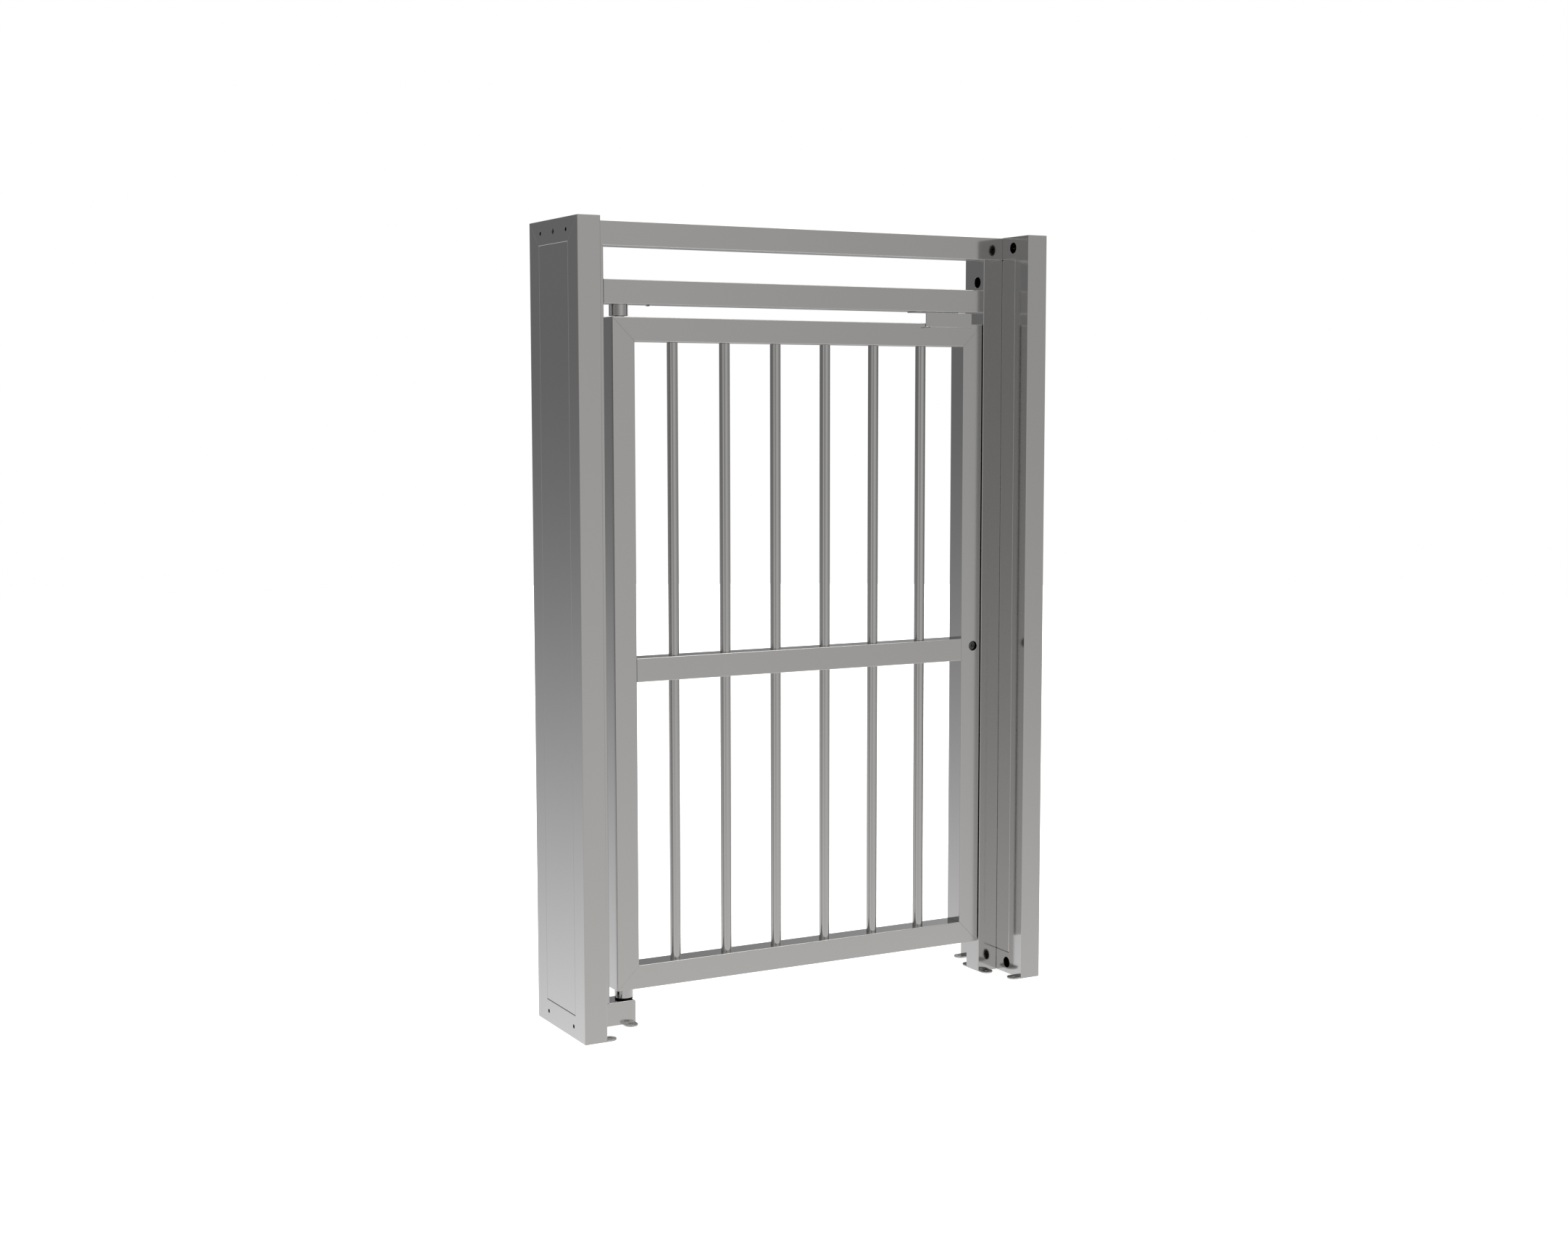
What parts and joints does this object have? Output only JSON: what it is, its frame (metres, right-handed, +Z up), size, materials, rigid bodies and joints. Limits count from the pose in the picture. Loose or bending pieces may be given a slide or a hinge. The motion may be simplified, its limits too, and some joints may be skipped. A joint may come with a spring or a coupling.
{
  "type": "full height swing gate",
  "caption": "Full height pass gate of square tube: a barred leaf on pivots swings between two box side frames under a double head beam, with a key lock and a holding magnet.",
  "frame": {"origin": "on the floor, in the middle of the gate's length and depth", "axes": "+X from the hinge side to the lock side, +Y from the front to the back, +Z up"},
  "size_m": [1.584, 0.35, 2.35],
  "materials": {
    "brushed_tube": "satin",
    "brushed_sheet": "satin",
    "polished_steel": "polished",
    "plain_steel": "plain",
    "dark_steel": "dull",
    "black_plastic": "matte",
    "lock_brass": "satin"
  },
  "bodies": {
    "frame": {"left_front_post": "brushed_tube", "left_rear_post": "brushed_tube", "left_frame_top_rail": "brushed_tube", "left_frame_bottom_rail": "brushed_tube", "left_outer_panel": "brushed_sheet", "left_inner_panel": "brushed_sheet", "left_front_foot_tab": "brushed_tube", "left_rear_foot_tab": "brushed_tube", "left_beam_screw": "dark_steel", "left_jamb_screw": "dark_steel", "right_front_post": "brushed_tube", "right_rear_post": "brushed_tube", "right_frame_top_rail": "brushed_tube", "right_frame_bottom_rail": "brushed_tube", "right_outer_panel": "brushed_sheet", "right_inner_panel": "brushed_sheet", "right_front_foot_tab": "brushed_tube", "right_rear_foot_tab": "brushed_tube", "right_beam_screw": "dark_steel", "right_jamb_screw": "dark_steel", "left_jamb_post": "brushed_tube", "right_jamb_post": "brushed_tube", "right_jamb_front_tab": "brushed_tube", "right_jamb_rear_tab": "brushed_tube", "top_beam": "brushed_tube", "head_beam": "brushed_tube", "hinge_floor_block": "brushed_tube", "floor_block_front_tab": "brushed_tube", "floor_block_rear_tab": "brushed_tube", "lock_magnet": "plain_steel", "head_beam_dome_screw": "plain_steel", "top_pivot_housing": "polished_steel", "top_pivot_bush": "lock_brass", "bottom_pivot_pin": "plain_steel", "thrust_washer": "black_plastic"},
    "leaf": {"hinge_stile": "brushed_tube", "lock_stile": "brushed_tube", "leaf_top_rail": "brushed_tube", "leaf_bottom_rail": "brushed_tube", "leaf_mid_rail": "brushed_tube", "upper_bar_1": "polished_steel", "upper_bar_2": "polished_steel", "upper_bar_3": "polished_steel", "upper_bar_4": "polished_steel", "upper_bar_5": "polished_steel", "upper_bar_6": "polished_steel", "lower_bar_1": "polished_steel", "lower_bar_2": "polished_steel", "lower_bar_3": "polished_steel", "lower_bar_4": "polished_steel", "lower_bar_5": "polished_steel", "lower_bar_6": "polished_steel", "top_pivot_pin": "plain_steel", "bottom_pivot_collar": "polished_steel", "bottom_pivot_bush": "lock_brass", "keeper_bracket": "brushed_sheet", "lock_case": "plain_steel", "lock_cylinder": "dark_steel"},
    "key": {"key_plug": "dark_steel"},
    "bolt": {"lock_bolt": "plain_steel"}
  },
  "joints": [
    {"name": "leaf_swing", "type": "hinge", "parent": "frame", "child": "leaf", "pos_m": [-0.5905, 0, 0], "axis": [0, 0, 1], "range_deg": [-90, 90]},
    {"name": "key_turn", "type": "hinge", "parent": "leaf", "child": "key", "pos_m": [0.621, 0, 1.063], "axis": [0, 1, 0], "range_deg": [0, 90]},
    {"name": "bolt_slide", "type": "slide", "parent": "leaf", "child": "bolt", "axis": [1, 0, 0], "range_m": [0, 0.014]}
  ],
  "couplings": [
    {"joint": "key_turn", "follows": "bolt_slide", "rad_per_m": 112.19}
  ]
}
